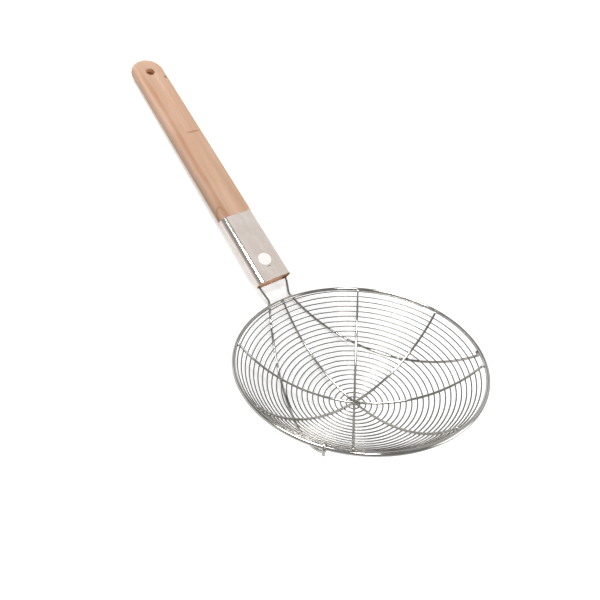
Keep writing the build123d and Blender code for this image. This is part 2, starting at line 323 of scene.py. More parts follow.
seat_distance = handle_thickness / 2 - sleeve_wall - carrier_wire / 2 - seat_clearance
carrier_offset = (handle_width - handle_thickness) / 2 + seat_distance * cos(radians(seat_angle))
carrier_drop = seat_distance * sin(radians(seat_angle))
for side in (-1, 1):
    outline = [(-groove_radius, -end_radius), (groove_radius, -end_radius)]
    for step in range(groove_steps + 1):
        angle = radians(180 * step / groove_steps)
        outline.append((groove_radius * cos(angle), groove_radius * sin(angle)))
    first = len(vertices)
    for distance in (wood_recess - overrun, groove_length):
        vertices += [(distance, side * carrier_offset + across, height - carrier_drop)
                     for across, height in outline]
    count = len(outline)
    faces += strips(first, 2, count, True)
    faces.append(tuple(range(first, first + count)))
    faces.append(tuple(range(first + count, first + 2 * count)))
cutter = mesh_object("handle cutters", vertices, faces)
cut = wooden_handle.modifiers.new("cut", "BOOLEAN")
cut.operation = "DIFFERENCE"
cut.solver = "EXACT"
cut.object = cutter
weighted = wooden_handle.modifiers.new("normals", "WEIGHTED_NORMAL")
weighted.keep_sharp = True

# Flat-sawn beech: growth rings cut by the board's face leave long pale arches and darker late wood, the
# rays leave short brown flecks, and pores a fine dark grain. Patterns are in millimetres along the
# handle. Bare end grain in the mouth soaks up oil and looks deeper, and it is also made lighter as
# painted light against the shade of the mouth. The drilled hole has painted light on its wall and
# painted shade deep inside, and a band of painted shade darkens the top along its left edge.
ring_spacing = 3.4
pith_across, pith_below = -3.0, 17.0
ring_taper = 0.012
ring_wander = 2.6
wander_grain = (0.011, 0.055, 0.07)
drift_grain = (0.014, 0.11, 0.11)
fibre_grain = (0.045, 1.9, 1.9)
fleck_grain = (0.42, 3.0, 3.0)
pore_grain = (0.9, 7.0, 7.0)
grain_detail, grain_roughness = 3.0, 0.55
ring_ends, ring_tones = 0.3, ((0.16, 0.0), (0.72, 0.32), (0.93, 1.0))
end_depth = (wood_recess + shoulder_bevel * 1.3) / mm
# Painted shade: a darker band along the top's left edge, where the rounding turns away from the light
shade_band_place, shade_band_reach = (150.0, 11.0, 3.0), (400.0, 4.4, 12.0)
knot_place, knot_reach, knot_turn = (260.0, -13.2, 6.1), (4.2, 2.4, 4.0), 2.6
arch_place, arch_reach = (75.0, 14.2, 5.4), (10.0, 4.2, 8.0)
line_place, line_reach = (179.0, -6.5, 6.1), (1.1, 8.0, 6.0)
mark_fade = 1.6
arch_line = 0.3

# The values of each pattern at which its tint starts and is full, and how much of the tint shows
drift_span = (0.35, 0.68)
late_wood_cover = 0.2
fibre_span, fibre_cover = (0.4, 0.75), 0.25
shade_band_span, shade_band_cover = (0.12, 0.5), 0.65
line_span, line_cover = (0.1, 0.7), 0.75
arch_span, arch_cover = (0.17, 0.04), 0.55
fleck_span, fleck_cover = (0.62, 0.72), 0.5
pore_span, pore_cover = (0.66, 0.74), 0.45
knot_span, knot_cover = (0.55, 0.95), 0.8
# End grain in the mouth: deeper in tone, and lighter as painted light against the mouth's shade
end_grain_and_painted_light_span, end_grain_and_painted_light_cover = (end_depth + 0.2, end_depth - 0.2), 0.95
# Painted light on the drilled hole's wall and painted shade deep in its middle, by depth into the hole
painted_light_wall_span, painted_shade_core_span = (0.2, 0.8), (5.0, 6.1)
wood_relief, wood_relief_height = 0.35, 0.05 * mm
wood_roughness, wood_specular = (0.45, 0.68), 0.4


def from_mouth(tree):
    # Millimetres along, across and up the handle, from the middle of the sleeve's mouth
    return add(tree, "ShaderNodeMapping", {
        "Vector": add(tree, "ShaderNodeTexCoord").outputs["Object"], "Location": mouth,
        "Rotation": handle_place.to_euler(), "Scale": (mm, mm, mm)}, vector_type="TEXTURE").outputs[0]


def grain(tree, where, scale):
    # Noise stretched along the handle, from the number of patches in a millimetre each way
    stretched = add(tree, "ShaderNodeVectorMath", {0: where, 1: scale}, operation="MULTIPLY")
    return add(tree, "ShaderNodeTexNoise", {
        "Vector": stretched.outputs[0], "Scale": 1.0, "Detail": grain_detail,
        "Roughness": grain_roughness}).outputs["Fac"]


def swelling(tree, where, place, reach):
    # How near a point is to a mark in the wood: 1 at the mark's middle and 0 well away from it
    away = add(tree, "ShaderNodeVectorMath", {0: where, 1: place}, operation="SUBTRACT")
    away = add(tree, "ShaderNodeVectorMath", {0: away.outputs[0], 1: reach}, operation="DIVIDE")
    away = add(tree, "ShaderNodeVectorMath", {0: away.outputs[0]}, operation="LENGTH")
    near = add(tree, "ShaderNodeMapRange", {
        "Value": away.outputs["Value"], "From Min": mark_fade, "From Max": 0.0},
        interpolation_type="SMOOTHSTEP")
    return near.outputs[0]


def tinted(tree, surface, tint, pattern, span, cover=1.0):
    # Lays a tint over a surface where a pattern goes from the start of its span to the end
    laid = add(tree, "ShaderNodeMapRange", {
        "Value": pattern, "From Min": span[0], "From Max": span[1], "To Max": cover},
        interpolation_type="SMOOTHSTEP")
    surface = add(tree, "ShaderNodeMix", {0: laid.outputs[0], 6: surface, 7: linear(tint)},
                  data_type="RGBA")
    return surface.outputs[2]


beech, tree = new_material("sanded bare beech")
along_handle = from_mouth(tree)
spot = add(tree, "ShaderNodeSeparateXYZ", {0: along_handle})
knot = swelling(tree, along_handle, knot_place, knot_reach)
flat_spot = add(tree, "ShaderNodeVectorMath", {0: along_handle, 1: (0.0, 1.0, 1.0)}, operation="MULTIPLY")
from_pith = add(tree, "ShaderNodeVectorMath", {0: flat_spot.outputs[0], 1: (0.0, pith_across, -pith_below)},
                operation="DISTANCE")
rings = add(tree, "ShaderNodeMath", {0: spot.outputs["X"], 1: ring_taper, 2: from_pith.outputs["Value"]},
            operation="MULTIPLY_ADD")
wander = grain(tree, along_handle, wander_grain)
rings = add(tree, "ShaderNodeMath", {0: wander, 1: ring_wander, 2: rings.outputs[0]},
            operation="MULTIPLY_ADD")
rings = add(tree, "ShaderNodeMath", {0: knot, 1: knot_turn, 2: rings.outputs[0]}, operation="MULTIPLY_ADD")
rings = add(tree, "ShaderNodeMath", {0: rings.outputs[0], 1: ring_spacing}, operation="DIVIDE")
rings = add(tree, "ShaderNodeMath", {0: rings.outputs[0]}, operation="FRACT")
ring_tone = add(tree, "ShaderNodeValToRGB", {0: rings.outputs[0]})
for stop in ring_tone.color_ramp.elements:
    stop.color = (ring_ends, ring_ends, ring_ends, 1.0)
for ring_share, tone in ring_tones:
    stop = ring_tone.color_ramp.elements.new(ring_share)
    stop.color = (tone, tone, tone, 1.0)

drift = grain(tree, along_handle, drift_grain)
fibre = grain(tree, along_handle, fibre_grain)
pores = grain(tree, along_handle, pore_grain)
wood = tinted(tree, linear("#E0BBA2"), "#D9B194", drift, drift_span)
wood = tinted(tree, wood, "#C4936D", ring_tone.outputs[0], (0.0, 1.0), late_wood_cover)
wood = tinted(tree, wood, "#C89B78", fibre, fibre_span, fibre_cover)
# Painted shade: a darker band along the top's left edge, broken up by the wood's drift
painted_shade_strip = swelling(tree, along_handle, shade_band_place, shade_band_reach)
painted_shade_strip = add(tree, "ShaderNodeMath", {0: painted_shade_strip, 1: drift}, operation="MULTIPLY")
wood = tinted(tree, wood, "#C48B66", painted_shade_strip.outputs[0], shade_band_span, shade_band_cover)
cross_line = swelling(tree, along_handle, line_place, line_reach)
wood = tinted(tree, wood, "#B07A4E", cross_line, line_span, line_cover)
arch = add(tree, "ShaderNodeMath", {0: swelling(tree, along_handle, arch_place, arch_reach), 1: arch_line},
           operation="SUBTRACT")
arch = add(tree, "ShaderNodeMath", {0: arch.outputs[0]}, operation="ABSOLUTE")
wood = tinted(tree, wood, "#B98453", arch.outputs[0], arch_span, arch_cover)
wood = tinted(tree, wood, "#A87650", grain(tree, along_handle, fleck_grain), fleck_span, fleck_cover)
wood = tinted(tree, wood, "#8F6040", pores, pore_span, pore_cover)
wood = tinted(tree, wood, "#7A4E30", knot, knot_span, knot_cover)
# Bare end grain in the mouth, deeper in tone and lightened as painted light where the mouth is in shade
wood = tinted(tree, wood, "#EDB48C", spot.outputs["X"], end_grain_and_painted_light_span, end_grain_and_painted_light_cover)
# Painted light on the drilled hole's wall, then painted shade deep in its middle, by the depth into the hole
on_face = add(tree, "ShaderNodeVectorMath", {0: along_handle, 1: (1.0, 1.0, 0.0)}, operation="MULTIPLY")
from_hole = add(tree, "ShaderNodeVectorMath", {0: on_face.outputs[0], 1: (hole_distance / mm, 0.0, 0.0)},
                operation="DISTANCE")
in_hole = add(tree, "ShaderNodeMath", {0: from_hole.outputs["Value"], 1: (hole_radius + hole_rounding) / mm},
              operation="LESS_THAN")
hole_depth = add(tree, "ShaderNodeMath", {0: spot.outputs["Z"]}, operation="ABSOLUTE")
hole_depth = add(tree, "ShaderNodeMath", {0: handle_thickness / 2 / mm, 1: hole_depth.outputs[0]},
                 operation="SUBTRACT")
hole_depth = add(tree, "ShaderNodeMath", {0: hole_depth.outputs[0], 1: in_hole.outputs[0]},
                 operation="MULTIPLY")
wood = tinted(tree, wood, "#E8B890", hole_depth.outputs[0], painted_light_wall_span)
wood = tinted(tree, wood, "#5A2A18", hole_depth.outputs[0], painted_shade_core_span)
relief = add(tree, "ShaderNodeMath", {0: fibre, 1: pores}, operation="ADD")
fibres = add(tree, "ShaderNodeBump", {
    "Strength": wood_relief, "Distance": wood_relief_height, "Height": relief.outputs[0]})
dullness = add(tree, "ShaderNodeMapRange", {
    "Value": fibre, "To Min": wood_roughness[0], "To Max": wood_roughness[1]})
colour = add(tree, "ShaderNodeBsdfPrincipled", {
    "Base Color": wood, "Roughness": dullness.outputs[0], "Specular IOR Level": wood_specular,
    "Normal": fibres.outputs[0]})
add(tree, "ShaderNodeOutputMaterial", {"Surface": colour.outputs[0]})

finished(wooden_handle, beech)
bpy.data.objects.remove(cutter)
sharp_edge = 35
wooden_handle.data.set_sharp_from_angle(angle=radians(sharp_edge))
wooden_handle.data.transform(handle_place)
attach(wooden_handle, "root")
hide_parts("wooden_handle")

# Steel sleeve: a thin strip of satin stainless sheet, bent round the tenon until its ends meet in a
# seam underneath. It is flush with the wood, and its cut edges are broken by tumbling.
seam = 0.4 * mm
edge_break = 0.12 * mm
fold_angle = 60

outer = whole_section(handle_width, handle_thickness)
inner = whole_section(handle_width - 2 * sleeve_wall, handle_thickness - 2 * sleeve_wall)
bottom = len(half) - 1
outer = outer[bottom:] + outer[:bottom + 1]
inner = inner[bottom:] + inner[:bottom + 1]
outer[0] = (-seam / 2, outer[0][1])
outer[-1] = (seam / 2, outer[-1][1])
inner[0] = (-seam / 2, inner[0][1])
inner[-1] = (seam / 2, inner[-1][1])
sheet = outer + inner[::-1]
vertices = [(distance, across, height) for distance in (0.0, sleeve_length) for across, height in sheet]
count = len(sheet)
faces = strips(0, 2, count, True)
for step in range(len(outer) - 1):
    opposite = count - 1 - step
    for first in (0, count):
        faces.append((first + step, first + step + 1, first + opposite - 1, first + opposite))
steel_sleeve = mesh_object("steel_sleeve_sheet", vertices, faces)
broken = steel_sleeve.modifiers.new("broken edges", "BEVEL")
broken.width = edge_break
broken.segments = 2
broken.limit_method = "ANGLE"
broken.angle_limit = radians(fold_angle)
weighted = steel_sleeve.modifiers.new("normals", "WEIGHTED_NORMAL")
weighted.keep_sharp = True

# Satin stainless sheet: brushed along its length before it was bent, so that fine lines run along the
# handle and stretch what it mirrors; handling adds faint smears. The round spot on its top is a
# frosted patch, and the line beside it the mark of the punch that grips the wood.
brushed_grain, brushed_span, brushed_cover = (0.02, 5.0, 5.0), (0.35, 0.7), 0.3
smear_grain, smear_span = (0.06, 0.09, 0.09), (0.3, 0.7)
spot_centre, spot_radius, spot_edge = (20.4, 0.0), 6.25, 0.25
punch_centre, punch_length, punch_width = (12.6, 0.0), 5.6, 0.7
punch_fade, punch_press = (1.2, 0.5), -3.0
sheet_roughness, frost_roughness = (0.1, 0.18), 0.6
sheet_metal, frost_metal = 1.0, 0.25
sheet_relief, sheet_relief_height = 0.25, 0.02 * mm

satin_steel, tree = new_material("satin stainless sheet")
along_handle = from_mouth(tree)
place = add(tree, "ShaderNodeSeparateXYZ", {0: along_handle})
upper = add(tree, "ShaderNodeMath", {0: place.outputs["Z"], 1: 0.0}, operation="GREATER_THAN")
flat_place = add(tree, "ShaderNodeCombineXYZ", {"X": place.outputs["X"], "Y": place.outputs["Y"]})
from_spot = add(tree, "ShaderNodeVectorMath", {0: flat_place.outputs[0], 1: (*spot_centre, 0.0)},
                operation="DISTANCE")
frosted = add(tree, "ShaderNodeMapRange", {
    "Value": from_spot.outputs["Value"], "From Min": spot_radius + spot_edge,
    "From Max": spot_radius - spot_edge}, interpolation_type="SMOOTHSTEP")
frosted = add(tree, "ShaderNodeMath", {0: frosted.outputs[0], 1: upper.outputs[0]}, operation="MULTIPLY")
from_punch = add(tree, "ShaderNodeVectorMath", {0: flat_place.outputs[0], 1: (*punch_centre, 0.0)},
                 operation="SUBTRACT")
from_punch = add(tree, "ShaderNodeVectorMath", {
    0: from_punch.outputs[0], 1: (punch_width / 2, punch_length / 2, 1.0)}, operation="DIVIDE")
from_punch = add(tree, "ShaderNodeVectorMath", {0: from_punch.outputs[0]}, operation="LENGTH")
punched = add(tree, "ShaderNodeMapRange", {
    "Value": from_punch.outputs["Value"], "From Min": punch_fade[0], "From Max": punch_fade[1]},
    interpolation_type="SMOOTHSTEP")
punched = add(tree, "ShaderNodeMath", {0: punched.outputs[0], 1: upper.outputs[0]}, operation="MULTIPLY")
brushed = grain(tree, along_handle, brushed_grain)
steel = tinted(tree, linear("#DED6CF"), "#D5CAC2", grain(tree, along_handle, smear_grain), smear_span)
steel = tinted(tree, steel, "#B8ADA4", brushed, brushed_span, brushed_cover)
steel = tinted(tree, steel, "#6F665F", punched.outputs[0], (0.0, 1.0))
steel = tinted(tree, steel, "#F1EDE8", frosted.outputs[0], (0.0, 1.0))
roughness = add(tree, "ShaderNodeMapRange", {
    "Value": brushed, "To Min": sheet_roughness[0], "To Max": sheet_roughness[1]})
roughness = add(tree, "ShaderNodeMix", {0: frosted.outputs[0], 2: roughness.outputs[0], 3: frost_roughness})
metal = add(tree, "ShaderNodeMapRange", {
    "Value": frosted.outputs[0], "To Min": sheet_metal, "To Max": frost_metal})
relief = add(tree, "ShaderNodeMath", {0: punched.outputs[0], 1: punch_press, 2: brushed},
             operation="MULTIPLY_ADD")
lines = add(tree, "ShaderNodeBump", {
    "Strength": sheet_relief, "Distance": sheet_relief_height, "Height": relief.outputs[0]})
shader = add(tree, "ShaderNodeBsdfPrincipled", {
    "Base Color": steel, "Metallic": metal.outputs[0], "Roughness": roughness.outputs[0],
    "Normal": lines.outputs[0]})
add(tree, "ShaderNodeOutputMaterial", {"Surface": shader.outputs[0]})
finished(steel_sleeve, satin_steel)
steel_sleeve.data.transform(handle_place)
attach(steel_sleeve, "root")
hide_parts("steel_sleeve")

# Rim wire: one length of thick polished stainless wire, rolled into a ring and butt-welded. The
# bowl hangs from it, so its centre and tilt set the place of every wire that follows.
rim_wire = 3.0 * mm
rib_wire = 2.0 * mm
mesh_wire = 1.0 * mm
bowl_width = 193.0 * mm
bowl_depth = 48.0 * mm
rim_radius = (bowl_width - rim_wire) / 2
rim_low, rim_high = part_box("rim_wire")
bowl_tilt = radians(handle_incline) - atan2(handle_along.z, handle_along.x)
bowl_place = Matrix.Rotation(bowl_tilt, 4, "Y")
bowl_place.translation = (rim_low + rim_high) / 2
rim_points = 144
rim_sides = 14

draw_lines = (0.04, 3.0, 1.0)
draw_relief, draw_relief_height = 0.2, 0.02 * mm
handling_patch, handling_span = 0.05, (0.35, 0.65)
heat_reach, heat_cover = 9.0, 0.6


def wire_finish(name, bright, dull, smooth, rough):
    # Stainless wire drawn through dies, which leaves faint lines along it, then tumbled with the
    # whole bowl. The heat of the welds leaves the middle of the bowl a little browner.
    material, tree = new_material(name)
    in_bowl = add(tree, "ShaderNodeMapping", {
        "Vector": add(tree, "ShaderNodeTexCoord").outputs["Object"],
        "Location": bowl_place @ Vector((0, 0, -bowl_depth)), "Scale": (mm, mm, mm)}, vector_type="TEXTURE")
    from_middle = add(tree, "ShaderNodeVectorMath", {0: in_bowl.outputs[0]}, operation="LENGTH")
    patches = add(tree, "ShaderNodeTexNoise",
                  {"Vector": in_bowl.outputs[0], "Scale": handling_patch, "Detail": 2.0})
    on_wire = add(tree, "ShaderNodeCombineXYZ", {
        "X": add(tree, "ShaderNodeAttribute", attribute_name="wire length").outputs["Fac"],
        "Y": add(tree, "ShaderNodeAttribute", attribute_name="wire round").outputs["Fac"]})
    on_wire = add(tree, "ShaderNodeVectorMath", {0: on_wire.outputs[0], 1: draw_lines}, operation="MULTIPLY")
    drawn = add(tree, "ShaderNodeTexNoise", {"Vector": on_wire.outputs[0], "Scale": 1.0, "Detail": 3.0})
    steel = tinted(tree, linear(bright), dull, patches.outputs["Fac"], handling_span)
    steel = tinted(tree, steel, "#7C7268", from_middle.outputs["Value"], (heat_reach, 0.0), heat_cover)
    roughness = add(tree, "ShaderNodeMapRange", {
        "Value": drawn.outputs["Fac"], "To Min": smooth, "To Max": rough})
    lines = add(tree, "ShaderNodeBump", {
        "Strength": draw_relief, "Distance": draw_relief_height, "Height": drawn.outputs["Fac"]})
    shader = add(tree, "ShaderNodeBsdfPrincipled", {
        "Base Color": steel, "Metallic": 1.0, "Roughness": roughness.outputs[0], "Normal": lines.outputs[0]})
    add(tree, "ShaderNodeOutputMaterial", {"Surface": shader.outputs[0]})
    return material


# Polished wire: thick wire takes a mirror polish, so it shows the white sweep, the grey ceiling and
# the lamps' soft boxes as sharp light and dark lines
polished_wire = wire_finish("polished stainless wire", "#B2B0AC", "#A09E99", smooth=0.05, rough=0.13)


def new_geometry_tree(name, sockets):
    # An empty tree with its named inputs and the geometry that goes in and comes out
    tree = bpy.data.node_groups.new(name, "GeometryNodeTree")
    tree.interface.new_socket("Geometry", in_out="INPUT", socket_type="NodeSocketGeometry")
    tree.interface.new_socket("Geometry", in_out="OUTPUT", socket_type="NodeSocketGeometry")
    for label, kind in sockets:
        tree.interface.new_socket(label, in_out="INPUT", socket_type="NodeSocket" + kind)
    return tree, tree.nodes.new("NodeGroupInput").outputs


def give(piece, tree, values):
    # Puts a tree on a piece and sets its inputs by their identifiers
    modifier = piece.modifiers.new(tree.name, "NODES")
    modifier.node_group = tree
    for socket in tree.interface.items_tree:
        if socket.item_type == "SOCKET" and socket.in_out == "INPUT" and socket.name in values:
            modifier[socket.identifier] = values[socket.name]


round_wire, given = new_geometry_tree(
    "round wire", [("Diameter", "Float"), ("Sides", "Int"), ("Finish", "Material")])
radius = add(round_wire, "ShaderNodeMath", {0: given["Diameter"], 1: 0.5}, operation="MULTIPLY")
line = add(round_wire, "GeometryNodeMeshToCurve", {"Mesh": given["Geometry"]})
along = add(round_wire, "GeometryNodeSplineParameter")
millimetres = add(round_wire, "ShaderNodeMath", {0: along.outputs["Length"], 1: 1 / mm},
                  operation="MULTIPLY")
line = add(round_wire, "GeometryNodeStoreNamedAttribute", {
    "Geometry": line.outputs[0], "Name": "wire length", "Value": millimetres.outputs[0]}, data_type="FLOAT")
section = add(round_wire, "GeometryNodeCurvePrimitiveCircle",
              {"Resolution": given["Sides"], "Radius": radius.outputs[0]})
section = add(round_wire, "GeometryNodeStoreNamedAttribute", {
    "Geometry": section.outputs[0], "Name": "wire round", "Value": along.outputs["Factor"]},
    data_type="FLOAT")
tube = add(round_wire, "GeometryNodeCurveToMesh",
           {"Curve": line.outputs[0], "Profile Curve": section.outputs[0], "Fill Caps": True})
smooth = add(round_wire, "GeometryNodeSetShadeSmooth", {"Geometry": tube.outputs[0]})
real = add(round_wire, "GeometryNodeRealizeInstances", {"Geometry": smooth.outputs[0]})
coated = add(round_wire, "GeometryNodeSetMaterial",
             {"Geometry": real.outputs[0], "Material": given["Finish"]})
add(round_wire, "NodeGroupOutput", {"Geometry": coated.outputs[0]})


def path_object(name, points, closed=False):
    # A line of points in the bowl's own frame, for a wire to follow
    edges = [(n, n + 1) for n in range(len(points) - 1)]
    if closed:
        edges.append((len(points) - 1, 0))
    mesh = bpy.data.meshes.new(name)
    mesh.from_pydata(points, edges, [])
    piece = bpy.data.objects.new(name, mesh)
    bpy.context.scene.collection.objects.link(piece)
    return piece


def polar(azimuth, radius, height):
    # A point of the bowl's frame from its azimuth, its distance from the axis and its height
    return Vector((radius * cos(radians(azimuth)), radius * sin(radians(azimuth)), height))


def onto_bowl(piece, nodes, finish):
    # Brings a finished wire from the bowl's frame to its place, where it stands for its CAD nodes
    finished(piece, finish)
    piece.data.transform(bowl_place)
    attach(piece, "root")
    if nodes:
        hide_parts(*nodes)


rim_path = [polar(360 * n / rim_points, rim_radius, 0) for n in range(rim_points)]
rim = path_object("rim_wire_round", rim_path, closed=True)
give(rim, round_wire, {"Diameter": rim_wire, "Sides": rim_sides, "Finish": polished_wire})
onto_bowl(rim, ["rim_wire"], polished_wire)

# Mesh wire: thin stainless wire wound in one spiral from the middle out to the rim, over a dome, with
# every turn the same distance from the last. Its outer end is welded to the rim.
mesh_turns = 23
mesh_start = 3.7 * mm
mesh_end_azimuth = 278.0
points_a_turn = 90
mesh_sides = 8
rim_offset = (rim_wire - mesh_wire) / 2
mesh_sphere = (rim_radius**2 + bowl_depth**2 - rim_offset**2) / (2 * (bowl_depth + rim_offset))
sphere_height = mesh_sphere - bowl_depth
rim_sphere = mesh_sphere + rim_offset
mesh_reach = (rim_wire + mesh_wire) / 2
rim_polar = atan2(rim_radius, sphere_height)
meeting = (mesh_sphere**2 + rim_sphere**2 - mesh_reach**2) / (2 * mesh_sphere * rim_sphere)
mesh_end = (rim_polar - acos(meeting)) * mesh_sphere

# Mesh wire is drawn thinner and only tumbled, so it is greyer and duller than the polished wire
drawn_wire = wire_finish("drawn stainless wire", "#85827E", "#73706C", smooth=0.2, rough=0.34)

dome_sockets = [("Turns", "Float"), ("Sphere", "Float"), ("Depth", "Float"), ("Start", "Float"),
                ("End", "Float"), ("End Azimuth", "Float")]
dome_sizes = {
    "Turns": float(mesh_turns), "Sphere": mesh_sphere, "Depth": bowl_depth, "Start": mesh_start,
    "End": mesh_end, "End Azimuth": radians(mesh_end_azimuth)}

# A point of the spiral over the dome, from its share of the way out
dome_point = bpy.data.node_groups.new("point on the dome", "GeometryNodeTree")
for label, kind in [("Share", "Float")] + dome_sockets:
    dome_point.interface.new_socket(label, in_out="INPUT", socket_type="NodeSocket" + kind)
dome_point.interface.new_socket("Point", in_out="OUTPUT", socket_type="NodeSocketVector")
given = dome_point.nodes.new("NodeGroupInput").outputs
walk = add(dome_point, "ShaderNodeMapRange",
           {"Value": given["Share"], "To Min": given["Start"], "To Max": given["End"]}, clamp=False)
opening = add(dome_point, "ShaderNodeMath", {0: walk.outputs[0], 1: given["Sphere"]}, operation="DIVIDE")
left_share = add(dome_point, "ShaderNodeMath", {0: 1.0, 1: given["Share"]}, operation="SUBTRACT")
turned = add(dome_point, "ShaderNodeMath", {0: left_share.outputs[0], 1: given["Turns"]},
             operation="MULTIPLY")
angle = add(dome_point, "ShaderNodeMath", {0: turned.outputs[0], 1: 2 * pi, 2: given["End Azimuth"]},
            operation="MULTIPLY_ADD")
sine = add(dome_point, "ShaderNodeMath", {0: opening.outputs[0]}, operation="SINE")
out = add(dome_point, "ShaderNodeMath", {0: sine.outputs[0], 1: given["Sphere"]}, operation="MULTIPLY")
cosine = add(dome_point, "ShaderNodeMath", {0: opening.outputs[0]}, operation="COSINE")
rise = add(dome_point, "ShaderNodeMath", {0: 1.0, 1: cosine.outputs[0]}, operation="SUBTRACT")
height = add(dome_point, "ShaderNodeMath", {0: rise.outputs[0], 1: given["Sphere"]}, operation="MULTIPLY")
height = add(dome_point, "ShaderNodeMath", {0: height.outputs[0], 1: given["Depth"]}, operation="SUBTRACT")
eastward = add(dome_point, "ShaderNodeMath", {0: angle.outputs[0]}, operation="COSINE")
eastward = add(dome_point, "ShaderNodeMath", {0: eastward.outputs[0], 1: out.outputs[0]},
               operation="MULTIPLY")
northward = add(dome_point, "ShaderNodeMath", {0: angle.outputs[0]}, operation="SINE")
northward = add(dome_point, "ShaderNodeMath", {0: northward.outputs[0], 1: out.outputs[0]},
                operation="MULTIPLY")
spot = add(dome_point, "ShaderNodeCombineXYZ",
           {"X": eastward.outputs[0], "Y": northward.outputs[0], "Z": height.outputs[0]})
add(dome_point, "NodeGroupOutput", {"Point": spot.outputs[0]})

dome_spiral, given = new_geometry_tree("dome spiral", dome_sockets + [
    ("Points", "Int"), ("Diameter", "Float"), ("Sides", "Int"), ("Finish", "Material")])
point_line = add(dome_spiral, "GeometryNodeMeshLine", {"Count": given["Points"]})
index = add(dome_spiral, "GeometryNodeInputIndex")
last = add(dome_spiral, "ShaderNodeMath", {0: given["Points"], 1: 1.0}, operation="SUBTRACT")
share = add(dome_spiral, "ShaderNodeMath", {0: index.outputs[0], 1: last.outputs[0]}, operation="DIVIDE")
spot = add(dome_spiral, "GeometryNodeGroup", {"Share": share.outputs[0], **{
    label: given[label] for label in dome_sizes}}, node_tree=dome_point)
spiral = add(dome_spiral, "GeometryNodeSetPosition", {
    "Geometry": point_line.outputs[0], "Position": spot.outputs[0]})
wire = add(dome_spiral, "GeometryNodeGroup", {
    "Geometry": spiral.outputs[0], "Diameter": given["Diameter"], "Sides": given["Sides"],
    "Finish": given["Finish"]}, node_tree=round_wire)
add(dome_spiral, "NodeGroupOutput", {"Geometry": wire.outputs[0]})

mesh_spiral = path_object("mesh_wire_spiral", [polar(0, 0, 0)])
give(mesh_spiral, dome_spiral, {
    **dome_sizes, "Points": mesh_turns * points_a_turn + 1, "Diameter": mesh_wire, "Sides": mesh_sides,
    "Finish": drawn_wire})
onto_bowl(mesh_spiral, ["mesh_coil"], drawn_wire)

# Ribs: eight stiffer stainless wires laid inside the mesh from the middle out and spot-welded to each
# turn. Their ends are bent onto the rim, pressed into it by the weld and cut off flush.
rib_count = 8
rim_end_angle = 185
weld_pressing = 0.7 * mm
rib_points = 48
wrap_points = 14
rib_sides = 10
rib_sphere = mesh_sphere - (mesh_wire + rib_wire) / 2
rib_wrap = (rim_wire + rib_wire) / 2

rib_path = []
for step in range(rib_points):
    opening = rim_polar * step / rib_points
    rib_path.append(polar(0, rib_sphere * sin(opening), sphere_height - rib_sphere * cos(opening)))
for step in range(wrap_points + 1):
    share = step / wrap_points
    turn = (pi / 2 + rim_polar) * (1 - share) + radians(rim_end_angle) * share
    reach = rib_wrap - weld_pressing * share
    rib_path.append(polar(0, rim_radius + reach * cos(turn), reach * sin(turn)))

rib_ring, given = new_geometry_tree("ribs round the middle", [
    ("Ribs", "Int"), ("Diameter", "Float"), ("Sides", "Int"), ("Finish", "Material")])
wire = add(rib_ring, "GeometryNodeGroup", {
    "Geometry": given["Geometry"], "Diameter": given["Diameter"], "Sides": given["Sides"],
    "Finish": given["Finish"]}, node_tree=round_wire)
hub_points = add(rib_ring, "GeometryNodeMeshLine", {"Count": given["Ribs"], "Offset": (0.0, 0.0, 0.0)})
index = add(rib_ring, "GeometryNodeInputIndex")
share = add(rib_ring, "ShaderNodeMath", {0: index.outputs[0], 1: given["Ribs"]}, operation="DIVIDE")
angle = add(rib_ring, "ShaderNodeMath", {0: share.outputs[0], 1: -2 * pi}, operation="MULTIPLY")
turn = add(rib_ring, "ShaderNodeCombineXYZ", {"Z": angle.outputs[0]})
copies = add(rib_ring, "GeometryNodeInstanceOnPoints",
             {"Points": hub_points.outputs[0], "Instance": wire.outputs[0], "Rotation": turn.outputs[0]})
real = add(rib_ring, "GeometryNodeRealizeInstances", {"Geometry": copies.outputs[0]})
coated = add(rib_ring, "GeometryNodeSetMaterial",
             {"Geometry": real.outputs[0], "Material": given["Finish"]})
add(rib_ring, "NodeGroupOutput", {"Geometry": coated.outputs[0]})

ribs = path_object("ribs_round", rib_path)
give(ribs, rib_ring, {
    "Ribs": rib_count, "Diameter": rib_wire, "Sides": rib_sides, "Finish": polished_wire})
onto_bowl(ribs, [f"rib_{n + 1}" for n in range(rib_count)], polished_wire)

# Spot welds: where each rib crosses a turn of the mesh, the two wires are melted together under the
# welding electrode, which leaves a small bright swelling, and a larger one joins the ribs in the middle.
bead_radius = 0.62 * mm
hub_radius, hub_thickness = 2.3 * mm, 1.08 * mm
bead_splits, hub_splits = 2, 4
first_crossing = mesh_end_azimuth % (360 / rib_count) / 360

weld_beads, given = new_geometry_tree("spot welds", dome_sockets + [
    ("Ribs", "Int"), ("First", "Float"), ("Crossings", "Int"), ("Inset", "Float"), ("Bead", "Float"),
    ("Hub", "Float"), ("Hub Height", "Float"), ("Hub Share", "Float"), ("Finish", "Material")])
point_line = add(weld_beads, "GeometryNodeMeshLine", {"Count": given["Crossings"]})
index = add(weld_beads, "GeometryNodeInputIndex")
turn = add(weld_beads, "ShaderNodeMath", {0: index.outputs[0], 1: given["Ribs"]}, operation="DIVIDE")
turn = add(weld_beads, "ShaderNodeMath", {0: turn.outputs[0], 1: given["First"]}, operation="ADD")
share = add(weld_beads, "ShaderNodeMath", {0: turn.outputs[0], 1: given["Turns"]}, operation="DIVIDE")
spot = add(weld_beads, "GeometryNodeGroup", {"Share": share.outputs[0], **{
    label: given[label] for label in dome_sizes}}, node_tree=dome_point)
centre_height = add(weld_beads, "ShaderNodeMath", {0: given["Sphere"], 1: given["Depth"]},
                    operation="SUBTRACT")
